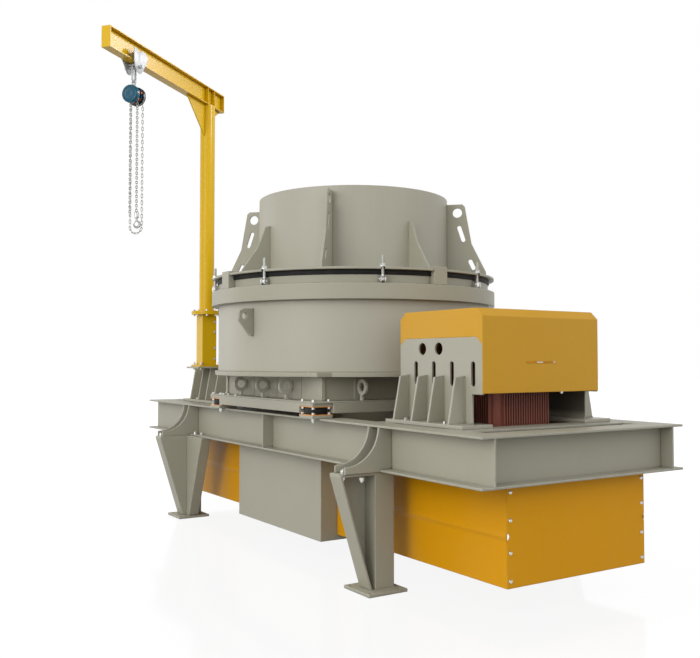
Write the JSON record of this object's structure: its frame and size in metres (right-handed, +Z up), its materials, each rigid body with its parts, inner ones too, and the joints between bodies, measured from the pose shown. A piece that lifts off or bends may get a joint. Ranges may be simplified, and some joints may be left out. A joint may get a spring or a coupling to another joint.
{
  "type": "impact crusher",
  "caption": "Vertical shaft impact crusher on a raised steel frame, with open feed hopper, side motor under a hood, belt guards, discharge chute and a slewing service crane with chain hoist.",
  "frame": {"origin": "rotor axis at floor level, in the middle of the anchor holes of the four feet", "axes": "+X along the frame toward the motor end, +Y across the frame away from the crane post, +Z up the rotor axis"},
  "size_m": [5.346, 3.2424, 4.28],
  "materials": {
    "frame_paint": "satin grey-green machine paint",
    "guard_paint": "satin warm yellow paint",
    "crane_paint": "satin yellow paint",
    "shim_paint": "gloss orange paint",
    "black_rubber": "matt black",
    "motor_paint": "matt reddish brown",
    "hoist_paint": "gloss blue-green paint",
    "plated_steel": "bright zinc plate"
  },
  "bodies": {
    "machine": {"side_beam_near": "frame_paint", "side_beam_far": "frame_paint", "end_beam_drive": "frame_paint", "end_beam_crane": "frame_paint", "cross_beams": "frame_paint", "brackets": "frame_paint", "leg_near_drive": "frame_paint", "leg_near_crane": "frame_paint", "leg_far_drive": "frame_paint", "leg_far_crane": "frame_paint", "chute": "frame_paint", "belt_guard_drive": "guard_paint", "belt_guard_crane": "guard_paint", "guard_end_drive": "guard_paint", "guard_end_crane": "guard_paint", "mount_plates": "frame_paint", "mount_shims": "shim_paint", "mount_rubbers": "black_rubber", "sub_frame": "frame_paint", "sub_deck": "frame_paint", "chamber": "frame_paint", "chamber_eyes": "frame_paint", "drum_plate": "frame_paint", "drum_shell": "frame_paint", "drum_lugs": "frame_paint", "drum_band": "frame_paint", "top_ring": "frame_paint", "lid_seal": "black_rubber", "hopper_plate": "frame_paint", "hopper": "frame_paint", "hopper_gussets": "frame_paint", "feed_funnel": "frame_paint", "swing_bolts": "plated_steel", "guide_blocks": "frame_paint", "cradle_near_drive": "frame_paint", "cradle_far_drive": "frame_paint", "motor_base": "frame_paint", "motor": "motor_paint", "motor_hood": "guard_paint", "cradle_near_crane": "frame_paint", "cradle_far_crane": "frame_paint", "pedestal_top": "frame_paint", "crane_column": "crane_paint"},
    "jib": {"jib_post": "crane_paint", "jib_boom": "crane_paint"},
    "trolley": {"trolley": "plated_steel"},
    "hoist": {"hoist": "hoist_paint", "load_chain": "plated_steel", "hand_chain": "plated_steel", "hook_block": "plated_steel"},
    "hook": {"load_hook": "plated_steel"}
  },
  "joints": [
    {"name": "jib_slew", "type": "hinge", "parent": "machine", "child": "jib", "pos_m": [-1.79, -0.61, 1.983], "axis": [0, 0, 1], "range_deg": [-245, 25]},
    {"name": "trolley_travel", "type": "slide", "parent": "jib", "child": "trolley", "axis": [0.6225, -0.7826, 0], "range_m": [-0.9, 0.31]},
    {"name": "hoist_swing", "type": "hinge", "parent": "trolley", "child": "hoist", "pos_m": [-0.94961, -1.66652, 4.06], "axis": [0.7826, 0.6225, 0], "range_deg": [-10, 10]},
    {"name": "hook_swivel", "type": "hinge", "parent": "hoist", "child": "hook", "pos_m": [-0.92509, -1.64063, 2.735], "axis": [0, 0, 1], "range_deg": [-180, 180]}
  ]
}
